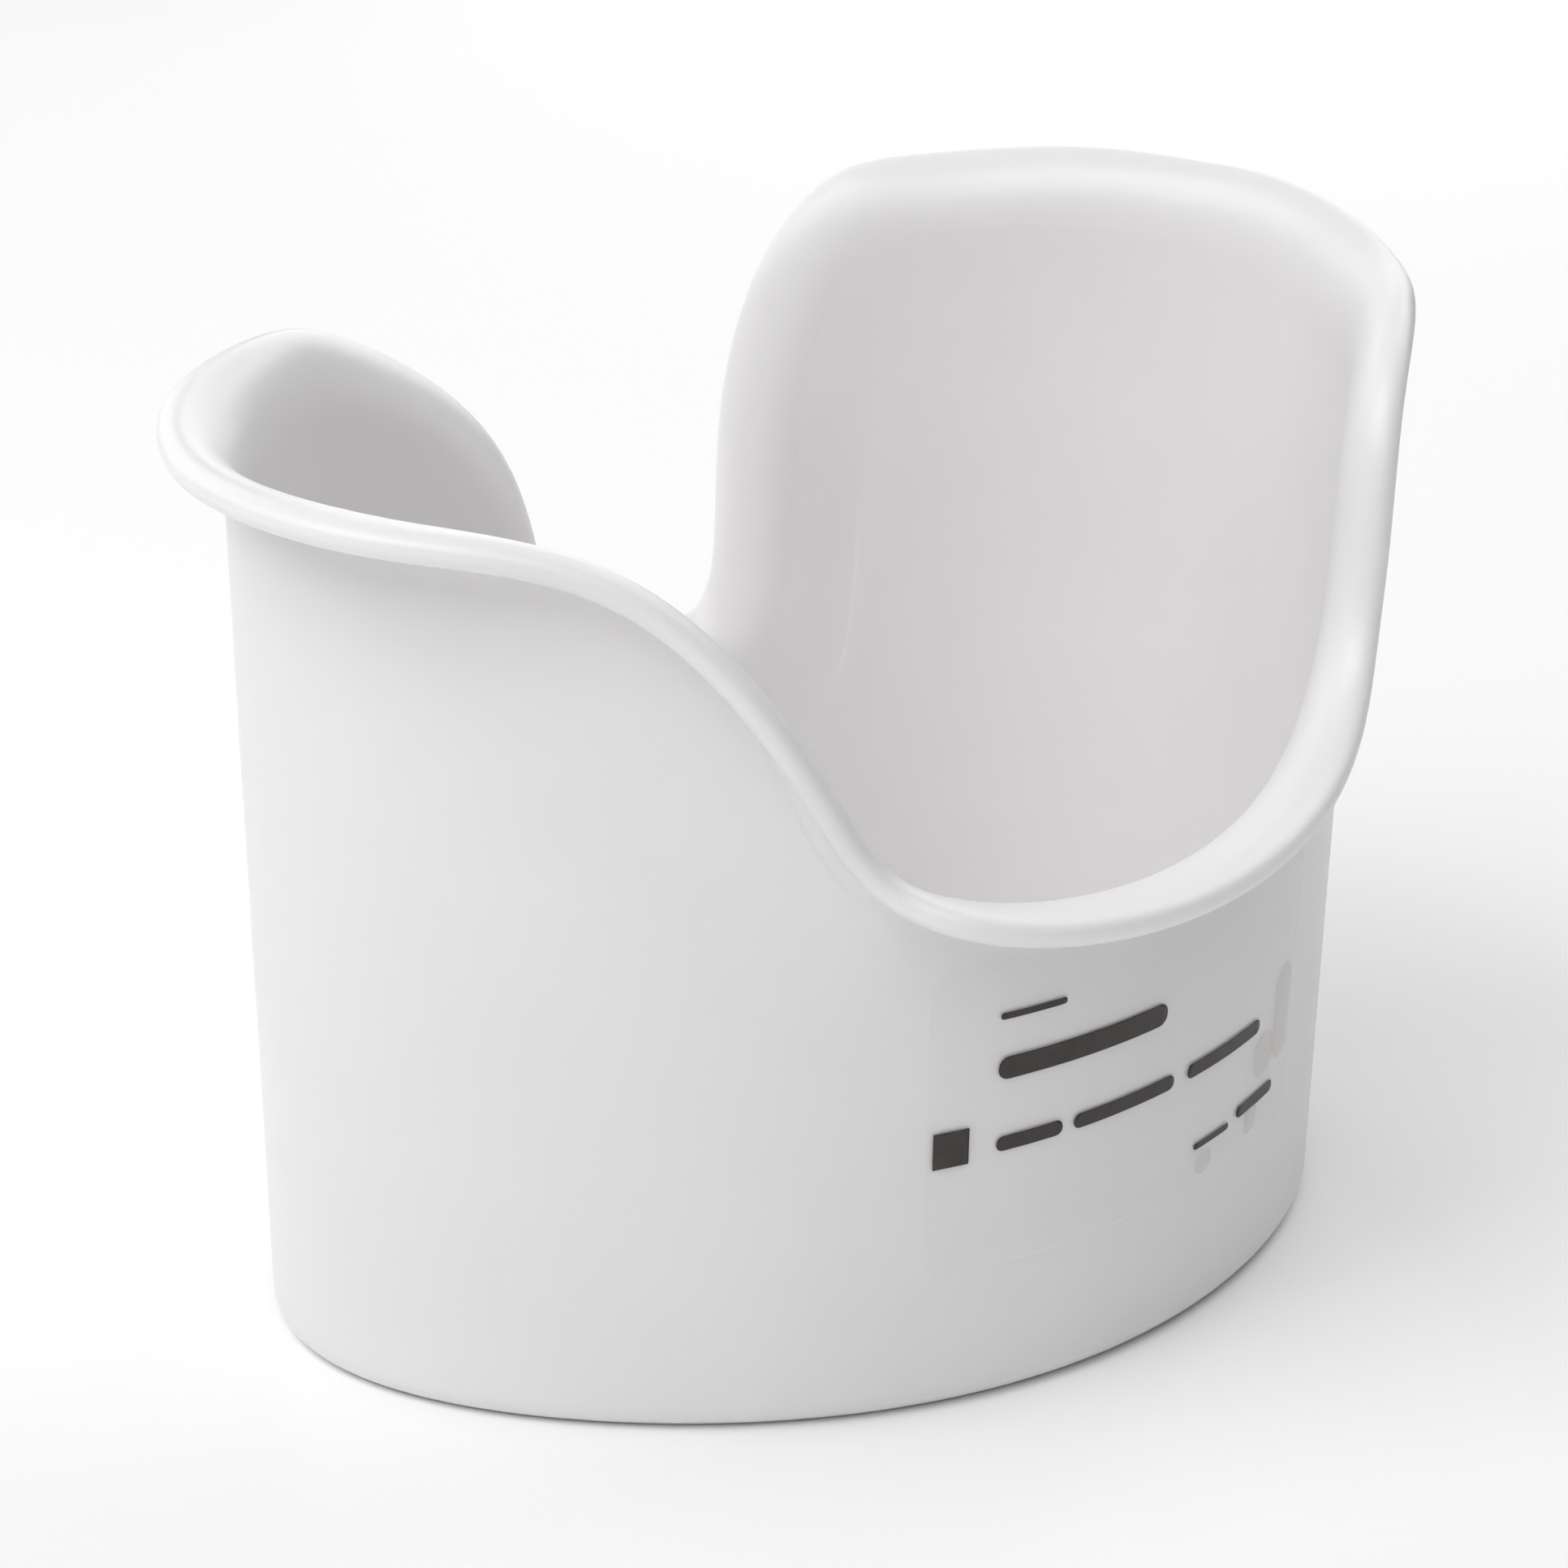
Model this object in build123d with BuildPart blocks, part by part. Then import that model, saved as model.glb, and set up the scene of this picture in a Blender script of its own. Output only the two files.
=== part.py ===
from build123d import *
import math
import os

# Ear wash basin: a one-piece moulded cup held under the ear, with a flared lip that rises to a tall
# splash lobe at one end and a lower lobe at the other, and a clear printed label on its wide side.
# Millimetres. +Z is up and the foot stands on Z = 0, +X points at the tall lobe, and -Y is the side
# with the wide saddle and the label.

# Oval cup. The flanks are a little flatter than an ellipse, and the wall leans out as it rises.
base_length = 120.0
base_width = 85.4
lean_length = 0.017  # outward travel of each end, per millimetre of height
lean_width = 0.034  # outward travel of each side, per millimetre of height
flank_flattening = 0.033
wall_thickness = 2.0
floor_thickness = 2.6
foot_radius = 2.6
floor_radius = 4.0

# Lip: the wall turns outward past level and ends in a rolled bead. Outside, the bend under the bead
# is tight. Inside, the wall flows out to the bead in one soft curve.
lip_root_radius = 2.0
lip_turn = 102.0
bead_radius = 1.4
inner_bend_depth = 3.5  # the soft curve leaves the inner wall this far below the lip root
bend_pull = 0.56  # how far the curve follows its end tangents, as a share of its extent

# Root of the lip: (degrees round the oval from +X, height, flange width between the bend and the bead).
# It starts on the tall lobe.
rim_knots = [
    (19.6, 102.7, 0.6),
    (36.8, 103.3, 1.0),
    (56.6, 101.8, 1.0),
    (59.4, 101.4, 0.5),
    (72.0, 83.7, 0.3),
    (73.8, 64.2, 0.8),
    (78.3, 50.6, 0.3),
    (95.7, 50.4, 1.1),
    (103.4, 65.9, 0.2),
    (107.0, 76.0, 1.1),
    (122.6, 88.5, 2.0),
    (135.1, 92.2, 0.3),
    (152.4, 92.2, 2.1),
    (173.2, 90.6, 1.8),
    (190.9, 90.8, 3.1),
    (209.1, 90.5, 4.1),
    (226.9, 86.9, 1.4),
    (243.8, 70.5, 1.8),
    (253.3, 56.3, 1.2),
    (257.5, 54.7, 3.5),
    (270.7, 52.6, 6.0),
    (290.2, 53.3, 5.2),
    (309.4, 59.3, 3.0),
    (319.7, 68.8, 1.2),
    (322.6, 77.9, 0.9),
    (324.3, 86.2, 0.6),
    (328.5, 92.1, 0.1),
    (340.8, 96.9, 0.1),
    (348.4, 97.9, 0.2),
]
station_count = 80  # points round each ring of the skin
outer_bands = [8.0, 3.0]  # rings outside the wall that follow the lip root, this far below it
inner_bands = [8.0, 5.5]  # the same, inside
saddle_angles = [-75.0, 87.0, 285.0, 447.0]  # middles of the saddles, where one lobe ends and the next starts
saddle_height = 36.0
foot_spread = 0.5  # how far a lobe's stations draw together towards the foot, in degrees per millimetre
wall_shares = [0.05, 0.12, 0.22, 0.35, 0.5, 0.65, 0.8]  # rings between the foot and the lowest band

# Clear label, wrapped on the -Y flank and set at a slight tilt, as a hand leaves it.
label_start_angle = 255.4
label_length = 54.0
label_bottom = 15.2
label_top = 48.4
label_tilt = 0.04  # rise per millimetre along the label
label_corner = 2.0
film_gap = 0.06  # adhesive under the film
film_thickness = 0.12
ink_gap = 0.01
ink_thickness = 0.04

# Print on the label, as (start, end, bottom, top) along and up from the label's lower left corner.
ink_square = (0.6, 4.4, 12.1, 16.0)
ink_bars = [
    (7.3, 14.7, 26.7, 27.8),
    (7.3, 28.2, 20.3, 23.0),
    (7.4, 15.0, 11.9, 15.9),
    (16.4, 30.0, 11.9, 15.9),
    (32.2, 45.8, 11.9, 15.9),
    (34.3, 40.6, 3.5, 4.8),
    (42.2, 51.0, 3.6, 6.1),
]


def wall_point(angle, height):
    """Point on the outer wall, before the lip."""
    turn = math.radians(angle)
    shrink = 1 - flank_flattening * math.sin(2 * turn) ** 2
    half_length = base_length / 2 + lean_length * height
    half_width = base_width / 2 + lean_width * height
    return Vector(half_length * shrink * math.cos(turn), half_width * shrink * math.sin(turn), height)


def wall_normal(angle, height):
    """Outward normal of the outer wall."""
    step = 0.01
    along = wall_point(angle + step, height) - wall_point(angle - step, height)
    up = wall_point(angle, height + step) - wall_point(angle, height - step)
    return along.cross(up).normalized()


def skin_point(angle, height, outset):
    """Point outset from the outer wall along its normal."""
    return wall_point(angle, height) + wall_normal(angle, height) * outset


def level_point(angle, height, outset):
    """Point outset level from the outer wall, at its own height."""
    normal = wall_normal(angle, height)
    return wall_point(angle, height) + Vector(normal.X, normal.Y, 0).normalized() * outset


def wall_angle(point):
    """Degrees round the oval of a point on or near the wall."""
    half_length = base_length / 2 + lean_length * point.Z
    half_width = base_width / 2 + lean_width * point.Z
    return math.degrees(math.atan2(point.Y / half_width, point.X / half_length)) % 360


def closed_ring(points):
    """Smooth closed curve through the points."""
    with BuildLine() as ring:
        Spline(*points, periodic=True)
    return ring.wire()


# Unrolled wall: the lip root as a smooth curve (its third coordinate is the flange width), cut into
# stations of equal length.
degree_length = math.pi * (base_length + base_width) / 2 / 360
closing_knot = (rim_knots[0][0] + 360,) + rim_knots[0][1:]
chart_knots = [(angle * degree_length, height, width) for angle, height, width in rim_knots + [closing_knot]]
with BuildLine() as unrolled_rim:
    Spline(*chart_knots, tangents=[(1, 0.03, 0)] * 2, tangent_scalars=[1, 1])
stations = range(station_count)
root_marks = [unrolled_rim.line @ (index / station_count) for index in stations]
root_angles = [mark.X / degree_length for mark in root_marks]
root_heights = [mark.Y for mark in root_marks]
flange_widths = [mark.Z for mark in root_marks]
root_points = [wall_point(angle, height) for angle, height in zip(root_angles, root_heights)]
root_normals = [wall_normal(angle, height) for angle, height in zip(root_angles, root_heights)]
root_rises = []
for index in stations:
    along = root_points[(index + 1) % station_count] - root_points[index - 1]
    root_rises.append(root_normals[index].cross(along).normalized())


def band_mark(index, distance):
    """Angle and height on the wall, this far below the lip root and square to it."""
    point = root_points[index] - root_rises[index] * distance
    angle = wall_angle(point)
    turns = round((root_angles[index] - angle) / 360)
    return angle + 360 * turns, point.Z


def foot_angle(index):
    """Angle of a station at the foot. Higher stations stand nearer to the middle of their lobe there."""
    angle, height = band_mark(index, outer_bands[0])
    for start, end in zip(saddle_angles, saddle_angles[1:]):
        if start <= angle < end:
            side = (start + end - 2 * angle) / (end - start)
            return angle + foot_spread * side * max(0.0, height - saddle_height)


foot_angles = [foot_angle(index) for index in stations]


def wall_rings(bottom_height, outset, bands):
    """Rings of the wall from its bottom up to the last band below the lip."""
    rings = []
    lowest_band = [band_mark(index, bands[0]) for index in stations]
    for share in [0.0] + wall_shares:
        points = []
        for index in stations:
            band_angle, band_height = lowest_band[index]
            angle = foot_angles[index] + share * (band_angle - foot_angles[index])
            height = bottom_height + share * (band_height - bottom_height)
            points.append(skin_point(angle, height, outset))
        rings.append(closed_ring(points))
    for distance in bands:
        marks = [band_mark(index, distance) for index in stations]
        rings.append(closed_ring([skin_point(angle, height, outset) for angle, height in marks]))
    return rings


def lip_profile(flange):
    """Lip section from its outer root over the bead to the inner wall, as (rise, reach outward)."""
    turn = math.radians(lip_turn)
    profile = []
    for share in (0, 0.25, 0.5, 0.75, 1):
        swept = turn * share
        profile.append((lip_root_radius * math.sin(swept), lip_root_radius * (1 - math.cos(swept))))
    bead_distance = lip_root_radius + bead_radius
    bead_rise = bead_distance * math.sin(turn) + flange * math.cos(turn)
    bead_reach = lip_root_radius - bead_distance * math.cos(turn) + flange * math.sin(turn)
    for swept in (0, 45, 90, 135, 180):
        facing = turn + math.pi / 2 - math.radians(swept)
        rise = bead_rise + bead_radius * math.cos(facing)
        reach = bead_reach + bead_radius * math.sin(facing)
        profile.append((rise, reach))
    bead_end = Vector(*profile[-1])
    wall_end = Vector(-inner_bend_depth, -wall_thickness)
    extent = bead_end - wall_end
    bead_pull = Vector(math.cos(turn), math.sin(turn)) * bend_pull * extent.Y
    wall_pull = Vector(bend_pull * extent.X, 0)
    with BuildLine() as inner_bend:
        Bezier(bead_end, bead_end - bead_pull, wall_end + wall_pull, wall_end)
    for share in (0.2, 0.4, 0.6, 0.8, 0.92, 1):
        mark = inner_bend.line @ share
        profile.append((mark.X, mark.Y))
    return profile


def lip_rings():
    """Rings that carry the lip section round the rim."""
    profiles = [lip_profile(flange_widths[index]) for index in stations]
    rings = []
    for row in range(len(profiles[0])):
        points = []
        for index in stations:
            rise, reach = profiles[index][row]
            offset = root_rises[index] * rise + root_normals[index] * reach
            points.append(root_points[index] + offset)
        rings.append(closed_ring(points))
    return rings


def foot_rings():
    """Rings of the rounded edge under the cup, up to just below the wall."""
    rings = []
    for swept in (0, 22.5, 45, 67.5):
        height = foot_radius * (1 - math.cos(math.radians(swept)))
        outset = foot_radius * (math.sin(math.radians(swept)) - 1)
        rings.append(closed_ring([level_point(angle, height, outset) for angle in foot_angles]))
    return rings


def floor_rings():
    """Rings of the rounded corner inside, from the floor up to just below the wall."""
    rings = []
    for swept in (0, 22.5, 45, 67.5):
        height = floor_thickness + floor_radius * (1 - math.cos(math.radians(swept)))
        outset = floor_radius * (math.sin(math.radians(swept)) - 1) - wall_thickness
        rings.append(closed_ring([level_point(angle, height, outset) for angle in foot_angles]))
    return rings


def label_angle(distance):
    """Degrees round the oval at this distance along the label from its left edge."""
    step = 0.1
    angle = label_start_angle
    middle_height = (label_bottom + label_top) / 2
    travelled = 0.0
    while travelled < distance:
        travelled += (wall_point(angle + step, middle_height) - wall_point(angle, middle_height)).length
        angle += step
    return angle


def patch_sections(start, end, bottom, top, gap, thickness):
    """Thin upright sections of a patch that follows the wall, measured from the label's corner."""
    section_count = max(3, round((end - start) / 5) + 1)
    sections = []
    for index in range(section_count):
        distance = start + (end - start) * index / (section_count - 1)
        angle = label_angle(distance)
        lift = label_bottom + label_tilt * distance
        foot = wall_point(angle, bottom + lift)
        head = wall_point(angle, top + lift)
        normal = wall_normal(angle, (foot.Z + head.Z) / 2)
        rise = (head - foot).normalized()
        middle = (foot + head) * 0.5 + normal * (gap + thickness / 2)
        with BuildSketch(Plane(origin=middle, x_dir=normal, z_dir=normal.cross(rise))) as section:
            Rectangle(thickness, (head - foot).length)
        sections.append(section.sketch)
    return sections


# Basin: five smooth skins that share their end rings, closed by the underside and the floor.
foot = foot_rings()
outer_wall = wall_rings(foot_radius, 0.0, outer_bands)
lip = lip_rings()
inner_wall = wall_rings(floor_thickness + floor_radius, -wall_thickness, inner_bands)
floor = floor_rings()
skins = [
    foot + outer_wall[:1],
    outer_wall + lip[:1],
    lip,
    inner_wall + lip[-1:],
    floor + inner_wall[:1],
]
faces = [Shell.make_loft(rings).face() for rings in skins]
with BuildPart() as basin:
    add(Solid(Shell(Face.sew_faces(faces + [Face(foot[0]), Face(floor[0])])[0])))
basin.part.label = "basin"

# Label film: one thin sheet with rounded corners.
with BuildPart() as label_film:
    loft(patch_sections(0, label_length, 0, label_top - label_bottom, film_gap, film_thickness))
    corners = label_film.edges().filter_by(lambda edge: edge.length < 2 * film_thickness)
    fillet(corners, label_corner)
label_film.part.label = "label_film"

# Label print: a plain square and plain bars where the words would stand.
ink_level = film_gap + film_thickness + ink_gap
with BuildPart() as label_print:
    for start, end, bottom, top in [ink_square] + ink_bars:
        loft(patch_sections(start, end, bottom, top, ink_level, ink_thickness))
label_print.part.label = "label_print"

os.makedirs("parts", exist_ok=True)
export_step(basin.part, "parts/basin.step")
export_step(label_film.part, "parts/label_film.step")
export_step(label_print.part, "parts/label_print.step")
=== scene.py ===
import math

import bpy
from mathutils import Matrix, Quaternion, Vector
from mathutils.bvhtree import BVHTree


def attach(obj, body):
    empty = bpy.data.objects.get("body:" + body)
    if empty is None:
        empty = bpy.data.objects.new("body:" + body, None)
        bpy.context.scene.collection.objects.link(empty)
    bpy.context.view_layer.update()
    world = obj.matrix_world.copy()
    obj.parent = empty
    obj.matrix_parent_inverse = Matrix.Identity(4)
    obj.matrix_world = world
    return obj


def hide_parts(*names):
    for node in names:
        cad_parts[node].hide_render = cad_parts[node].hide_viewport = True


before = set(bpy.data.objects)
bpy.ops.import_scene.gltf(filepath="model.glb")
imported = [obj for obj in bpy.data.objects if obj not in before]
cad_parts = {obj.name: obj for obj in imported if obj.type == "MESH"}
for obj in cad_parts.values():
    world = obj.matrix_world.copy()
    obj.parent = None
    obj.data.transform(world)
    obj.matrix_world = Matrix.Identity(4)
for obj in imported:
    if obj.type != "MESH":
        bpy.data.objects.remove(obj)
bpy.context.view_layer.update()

# An ear wash basin of semi-gloss white plastic with a clear printed label. All sizes are in metres.
MM = 0.001
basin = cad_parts["basin"]

# Camera: where it looks, from which side, and how much it sees.
CAMERA_AIM = Vector((-3.0, 0.4, 51.3)) * MM
CAMERA_AZIMUTH = math.radians(-28.7)
CAMERA_ELEVATION = math.radians(21.1)
CAMERA_ROLL = math.radians(0.47)
CAMERA_DISTANCE = 0.42
CAMERA_LENS_MM = 92.6


def direction(azimuth, elevation):
    """Unit vector from the object towards a viewer or a light. Azimuth 0 is the -Y side."""
    level = math.cos(elevation)
    return Vector((math.sin(azimuth) * level, -math.cos(azimuth) * level, math.sin(elevation)))


def link(obj):
    """Puts the object in the scene and returns it."""
    bpy.context.scene.collection.objects.link(obj)
    return obj


def add_camera():
    data = bpy.data.cameras.new("camera")
    data.lens = CAMERA_LENS_MM
    data.clip_start = 0.01
    data.clip_end = 50
    camera = link(bpy.data.objects.new("camera", data))
    back = direction(CAMERA_AZIMUTH, CAMERA_ELEVATION)
    camera.location = CAMERA_AIM + back * CAMERA_DISTANCE
    camera.rotation_mode = "QUATERNION"
    roll = Quaternion((0, 0, 1), CAMERA_ROLL)
    camera.rotation_quaternion = (-back).to_track_quat("-Z", "Y") @ roll
    bpy.context.scene.camera = camera


# Soft square lights: name, azimuth and elevation in degrees, watts.
LIGHT_DISTANCE = 1.0
LIGHT_SIDE = 0.7
LIGHTS = [
    ("left_panel", -90, 50, 4.3),
    ("right_panel", 100, 50, 3.2),
    ("front_panel", -30, 50, 2.75),
    ("right_back_panel", 140, 20, 2.6),
    ("back_panel", -170, 20, 1.9),
    ("left_front_panel", -60, 50, 1.4),
    ("left_back_panel", -130, 35, 1.6),
    ("camera_panel", -30, 20, 0.7),
    ("top_panel", -30, 88, 0.4),
]


def add_light(name, azimuth, elevation, watts):
    data = bpy.data.lights.new(name, "AREA")
    data.shape = "SQUARE"
    data.size = LIGHT_SIDE
    data.energy = watts
    light = link(bpy.data.objects.new(name, data))
    back = direction(math.radians(azimuth), math.radians(elevation))
    light.location = CAMERA_AIM + back * LIGHT_DISTANCE
    light.rotation_mode = "QUATERNION"
    light.rotation_quaternion = back.to_track_quat("Z", "Y")


def new_material(name, color, roughness):
    material = bpy.data.materials.new(name)
    material.use_nodes = True
    shader = material.node_tree.nodes["Principled BSDF"]
    shader.inputs["Base Color"].default_value = (*color, 1)
    shader.inputs["Roughness"].default_value = roughness
    return material, material.node_tree, shader


FLOOR_REACH = 6.0
WORLD_STRENGTH = 0.01


def add_floor():
    mesh = bpy.data.meshes.new("floor")
    reach = FLOOR_REACH
    corners = [(-reach, -reach, 0), (reach, -reach, 0), (reach, reach, 0), (-reach, reach, 0)]
    mesh.from_pydata(corners, [], [(0, 1, 2, 3)])
    floor = link(bpy.data.objects.new("floor", mesh))
    material, tree, shader = new_material("floor", (0.96, 0.96, 0.96), 0.8)
    mesh.materials.append(material)


def noise_color(tree, dark, light, scale, detail):
    """Soft cloudy change between two close colours. Returns the colour socket."""
    coordinates = tree.nodes.new("ShaderNodeTexCoord")
    noise = tree.nodes.new("ShaderNodeTexNoise")
    noise.inputs["Scale"].default_value = scale
    noise.inputs["Detail"].default_value = detail
    ramp = tree.nodes.new("ShaderNodeValToRGB")
    ramp.color_ramp.elements[0].position = 0.3
    ramp.color_ramp.elements[0].color = (*dark, 1)
    ramp.color_ramp.elements[1].position = 0.7
    ramp.color_ramp.elements[1].color = (*light, 1)
    tree.links.new(coordinates.outputs["Object"], noise.inputs["Vector"])
    tree.links.new(noise.outputs["Fac"], ramp.inputs["Fac"])
    return ramp.outputs["Color"]


def fine_bump(tree, scale, depth):
    """Moulding texture too fine to see as bumps. Returns the normal socket."""
    coordinates = tree.nodes.new("ShaderNodeTexCoord")
    noise = tree.nodes.new("ShaderNodeTexNoise")
    noise.inputs["Scale"].default_value = scale
    noise.inputs["Detail"].default_value = 2
    bump = tree.nodes.new("ShaderNodeBump")
    bump.inputs["Strength"].default_value = 1
    bump.inputs["Distance"].default_value = depth
    tree.links.new(coordinates.outputs["Object"], noise.inputs["Vector"])
    tree.links.new(noise.outputs["Fac"], bump.inputs["Height"])
    return bump.outputs["Normal"]


def plastic():
    """Semi-gloss white polypropylene with a faint cloudiness and a fine moulding texture."""
    material, tree, shader = new_material("white_plastic", (0.8, 0.79, 0.79), 0.34)
    color = noise_color(tree, (0.795, 0.783, 0.785), (0.815, 0.803, 0.805), 45, 3)
    tree.links.new(color, shader.inputs["Base Color"])
    tree.links.new(fine_bump(tree, 1400, 0.004 * MM), shader.inputs["Normal"])
    shader.inputs["Subsurface Weight"].default_value = 0.6
    shader.inputs["Subsurface Radius"].default_value = (1, 1, 1)
    shader.inputs["Subsurface Scale"].default_value = 3 * MM
    return material


def ink():
    """Dark brown printing ink, slightly uneven."""
    material, tree, shader = new_material("label_ink", (0.03, 0.022, 0.02), 0.4)
    color = noise_color(tree, (0.022, 0.016, 0.014), (0.034, 0.026, 0.023), 500, 2)
    tree.links.new(color, shader.inputs["Base Color"])
    return material


def clear_film(name, tint, roughness, gloss):
    """Clear film: light passes through it and its surface mirrors more at a flat angle."""
    material, tree, shader = new_material(name, (1, 1, 1), roughness)
    through = tree.nodes.new("ShaderNodeBsdfTransparent")
    through.inputs["Color"].default_value = (*tint, 1)
    facing = tree.nodes.new("ShaderNodeLayerWeight")
    facing.inputs["Blend"].default_value = 0.25
    share = tree.nodes.new("ShaderNodeMath")
    share.operation = "MULTIPLY_ADD"
    share.inputs[1].default_value = 0.25
    share.inputs[2].default_value = gloss
    mix = tree.nodes.new("ShaderNodeMixShader")
    output = tree.nodes["Material Output"]
    tree.links.new(facing.outputs["Facing"], share.inputs[0])
    tree.links.new(share.outputs["Value"], mix.inputs[0])
    tree.links.new(through.outputs["BSDF"], mix.inputs[1])
    tree.links.new(shader.outputs["BSDF"], mix.inputs[2])
    tree.links.new(mix.outputs["Shader"], output.inputs["Surface"])
    tree.links.new(fine_bump(tree, 160, 0.01 * MM), shader.inputs["Normal"])
    return material


def dress(node, material):
    """Gives every slot of a carried-over part this material."""
    for slot in node.material_slots:
        slot.material = material


# Label. Its pieces follow the wall: places on it are (along, up) from its lower left corner.
LABEL_LENGTH = 54.0 * MM
LABEL_HEIGHT = 33.2 * MM
LABEL_BOTTOM = 15.2 * MM
LABEL_TILT = 0.04
LABEL_CORNER = 2.0 * MM
FILM_TOP = 0.16 * MM  # its outer face, off the wall
FILM_BOTTOM = 0.05 * MM
INK_TOP = 0.21 * MM
INK_BOTTOM = 0.17 * MM
WALL_START = math.radians(-104.0)  # bearing of the label's left edge, seen from the middle of the cup


def wall_hit(surface, bearing, height):
    """Point and outward normal of the cup's outside at this bearing and height."""
    outward = Vector((math.cos(bearing), math.sin(bearing), 0))
    start = outward * 0.2 + Vector((0, 0, height))
    point, normal, face, distance = surface.ray_cast(start, -outward)
    return point, normal


def bearing_table(surface):
    """Bearings along the wall at the label's middle height, with the distance to each."""
    step = math.radians(0.5)
    height = LABEL_BOTTOM + LABEL_HEIGHT / 2
    table = [(0.0, WALL_START)]
    last = wall_hit(surface, WALL_START, height)[0]
    while table[-1][0] < LABEL_LENGTH + 2 * MM:
        bearing = table[-1][1] + step
        point = wall_hit(surface, bearing, height)[0]
        table.append((table[-1][0] + (point - last).length, bearing))
        last = point
    return table


def label_point(surface, table, along, up, lift):
    """Point this far off the wall at a place on the label."""
    for (low, start), (high, end) in zip(table, table[1:]):
        if along <= high:
            bearing = start + (end - start) * (along - low) / (high - low)
            break
    point, normal = wall_hit(surface, bearing, LABEL_BOTTOM + LABEL_TILT * along + up)
    return point + normal * lift


def even_steps(start, end, count):
    return [start + (end - start) * index / count for index in range(count + 1)]


def add_patch(name, surface, table, area, corner, bottom, top, material):
    """Sheet on the wall with rounded corners, and a skirt down to the wall. top(along, up) is its lift."""
    left, right, low, high = area
    ease = [1 - math.cos(math.radians(angle)) for angle in (0, 22, 45, 67)]
    rows = [low + corner * share for share in ease]
    rows += even_steps(low + corner, high - corner, max(1, round((high - low) / (0.8 * MM))))
    rows += [high - corner * share for share in reversed(ease)]
    column_count = max(2, round((right - left) / (0.6 * MM)))
    places = []
    for up in rows:
        depth = max(0.0, corner - min(up - low, high - up))
        inset = corner - math.sqrt(max(0.0, corner ** 2 - depth ** 2))
        places += [(along, up) for along in even_steps(left + inset, right - inset, column_count)]
    vertices = [label_point(surface, table, *place, top(*place)) for place in places]
    width = column_count + 1
    faces = []
    for row in range(len(rows) - 1):
        for column in range(column_count):
            first = row * width + column
            faces.append((first, first + 1, first + 1 + width, first + width))
    last_row = (len(rows) - 1) * width
    border = list(range(width)) + [row * width + width - 1 for row in range(1, len(rows) - 1)]
    border += list(range(last_row + width - 1, last_row - 1, -1))
    border += [row * width for row in range(len(rows) - 2, 0, -1)]
    skirt = len(vertices)
    vertices += [label_point(surface, table, *places[index], bottom) for index in border]
    for step, index in enumerate(border):
        after = (step + 1) % len(border)
        faces.append((border[after], index, skirt + step, skirt + after))
    mesh = bpy.data.meshes.new(name)
    mesh.from_pydata(vertices, [], faces)
    mesh.update()
    mesh.materials.append(material)
    for polygon in mesh.polygons:
        polygon.use_smooth = True
    return link(bpy.data.objects.new(name, mesh))


# Print stand-ins, as (left, right, low, high) in millimetres: a square and plain word bars.
PRINT_SQUARE = (0.6, 4.4, 12.1, 16.0)
PRINT_BARS = [
    (7.3, 14.7, 26.9, 27.6),
    (7.3, 28.2, 20.4, 22.8),
    (7.4, 15.0, 12.6, 14.2),
    (16.4, 30.0, 12.6, 14.2),
    (32.2, 45.8, 12.6, 14.2),
    (34.3, 40.6, 3.8, 4.5),
    (42.2, 50.2, 4.1, 5.4),
]

# Air caught under the film, as (along, up, half length, half height, lift) in millimetres.
AIR_POCKETS = [
    (51.6, 12.6, 2.0, 5.4, 0.22),
    (47.4, 9.3, 2.3, 2.6, 0.12),
    (45.4, 2.9, 1.3, 1.7, 0.14),
    (36.2, 1.9, 1.5, 1.3, 0.18),
]


def millimetres(area):
    return [value * MM for value in area]


def flat(lift):
    return lambda along, up: lift


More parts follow.
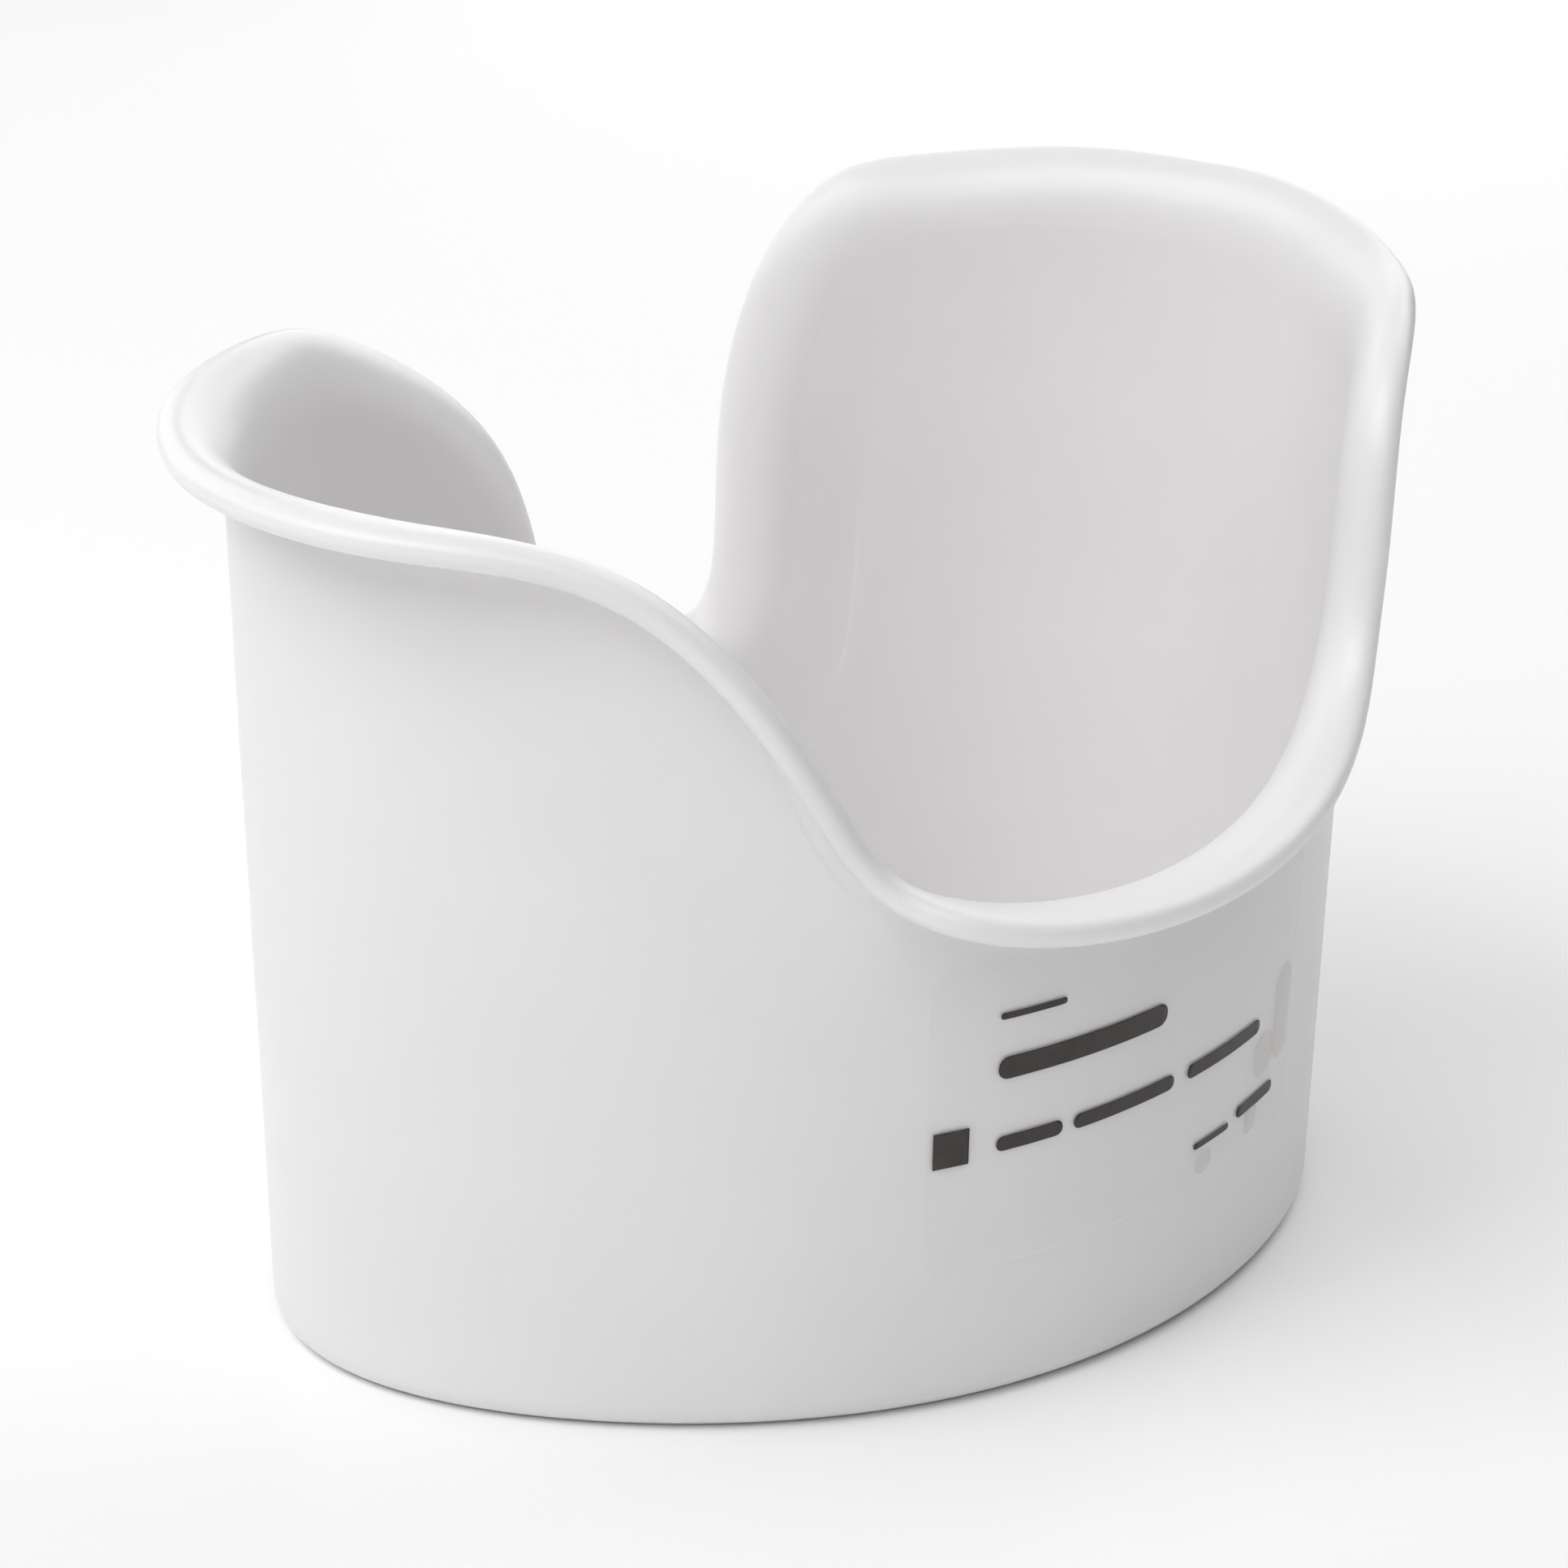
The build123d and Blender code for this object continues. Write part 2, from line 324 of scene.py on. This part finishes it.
def dome(pocket):
    """Lift of the film over an air pocket."""
    middle, height, half_length, half_height, lift = millimetres(pocket)

    def top(along, up):
        span = ((along - middle) / half_length) ** 2 + ((up - height) / half_height) ** 2
        return FILM_TOP + 0.01 * MM + lift * max(0.0, 1 - span) ** 0.7

    return top


def settle(piece, node_name):
    """The piece rides on the basin in place of this CAD node."""
    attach(piece, "root")
    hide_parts(node_name)


def add_label():
    """Film, its air pockets and its print, each as one object."""
    mesh = basin.data
    corners = [vertex.co for vertex in mesh.vertices]
    surface = BVHTree.FromPolygons(corners, [polygon.vertices for polygon in mesh.polygons])
    table = bearing_table(surface)
    sheet = (0.0, LABEL_LENGTH, 0.0, LABEL_HEIGHT)
    film = clear_film("clear_film", (1, 1, 1), 0.08, 0.0)
    pieces = [add_patch("film_sheet", surface, table, sheet, LABEL_CORNER, FILM_BOTTOM, flat(FILM_TOP), film)]
    air = clear_film("caught_air", (0.93, 0.915, 0.915), 0.2, 0.04)
    for number, pocket in enumerate(AIR_POCKETS, 1):
        middle, height, half_length, half_height, lift = millimetres(pocket)
        area = (middle - half_length, middle + half_length, height - half_height, height + half_height)
        corner = 0.98 * min(half_length, half_height)
        name = "air_pocket_%d" % number
        pieces.append(add_patch(name, surface, table, area, corner, FILM_TOP + 0.005 * MM, dome(pocket), air))
    for piece in pieces:
        settle(piece, "label_film")
    dark = ink()
    for number, area in enumerate([PRINT_SQUARE] + PRINT_BARS):
        area = millimetres(area)
        corner = 0.1 * MM if number == 0 else 0.45 * (area[3] - area[2])
        name = "print_%d" % number
        bar = add_patch(name, surface, table, area, corner, INK_BOTTOM, flat(INK_TOP), dark)
        settle(bar, "label_print")


add_camera()
for light in LIGHTS:
    add_light(*light)
add_floor()
world = bpy.data.worlds.new("world")
world.use_nodes = True
world.node_tree.nodes["Background"].inputs["Color"].default_value = (1, 1, 1, 1)
world.node_tree.nodes["Background"].inputs["Strength"].default_value = WORLD_STRENGTH
bpy.context.scene.world = world
bpy.context.scene.view_settings.view_transform = "Standard"
dress(basin, plastic())
add_label()
